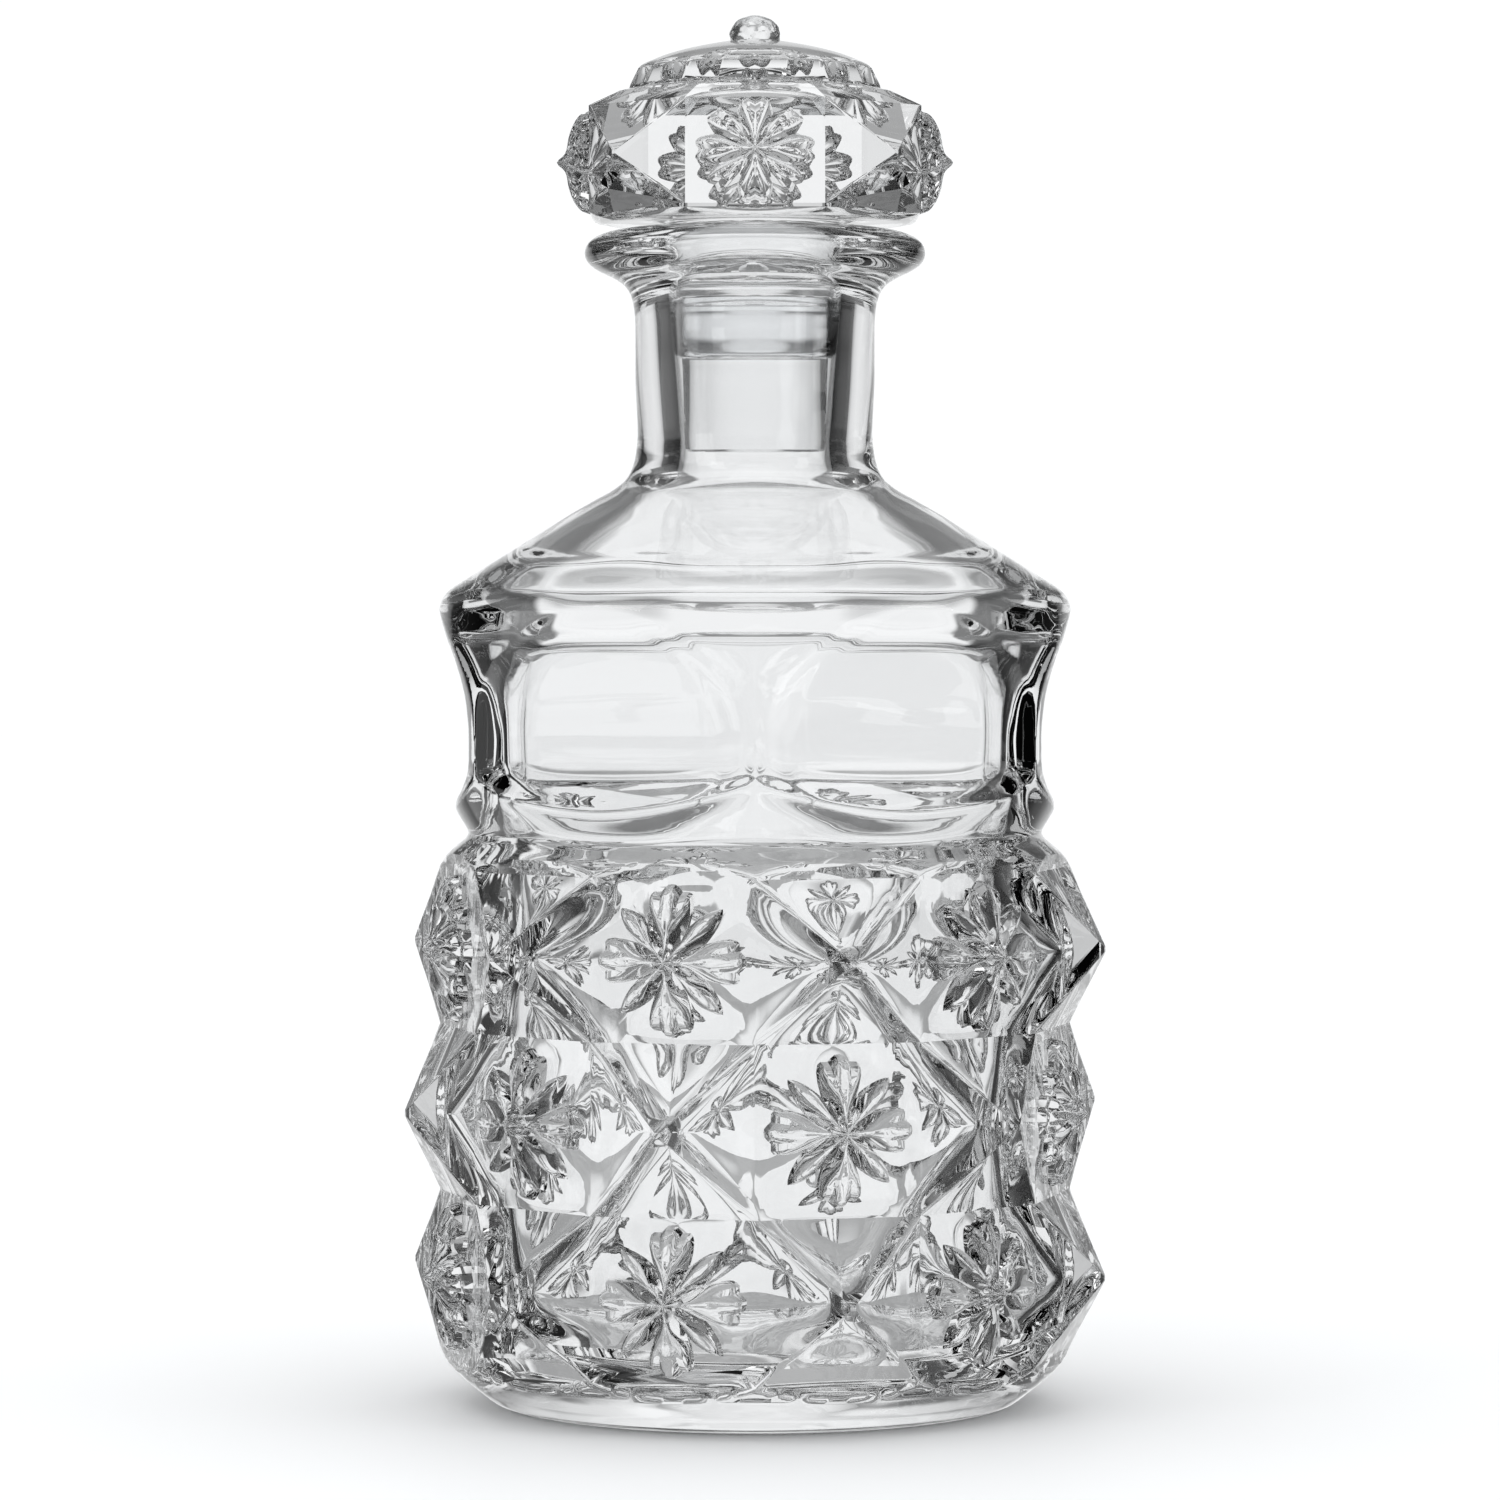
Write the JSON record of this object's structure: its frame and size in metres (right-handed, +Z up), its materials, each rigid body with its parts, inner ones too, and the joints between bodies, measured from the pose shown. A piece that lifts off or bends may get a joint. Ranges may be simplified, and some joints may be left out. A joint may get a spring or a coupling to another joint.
{
  "type": "cut crystal decanter",
  "caption": "Crystal decanter: round hollow body with thumb cuts over rows of pyramid and flower cuts, and an eight-sided cut glass stopper in a clear sealing sleeve.",
  "frame": {"origin": "middle of the foot, on the surface the decanter stands on", "axes": "+Z up along the vessel's axis through the neck and the stopper's knob; +X through the middle of one thumb cut; -Y is the front, through the ridge between two thumb cuts"},
  "size_m": [0.1254, 0.1254, 0.25],
  "materials": {
    "crystal": "fire polished clear crystal",
    "stopper_crystal": "fire polished clear crystal",
    "clear_sleeve": "translucent soft polymer"
  },
  "bodies": {
    "decanter": {"decanter_body": "crystal"},
    "seal": {"stopper_seal": "clear_sleeve"},
    "stopper": {"stopper": "stopper_crystal"}
  },
  "joints": [
    {"name": "stopper_lift", "type": "slide", "parent": "decanter", "child": "seal", "axis": [0, 0, 1], "range_m": [0, 0.06]},
    {"name": "stopper_turn", "type": "hinge", "parent": "seal", "child": "stopper", "pos_m": [0, 0, 0.19], "axis": [0, 0, 1], "continuous": true}
  ]
}
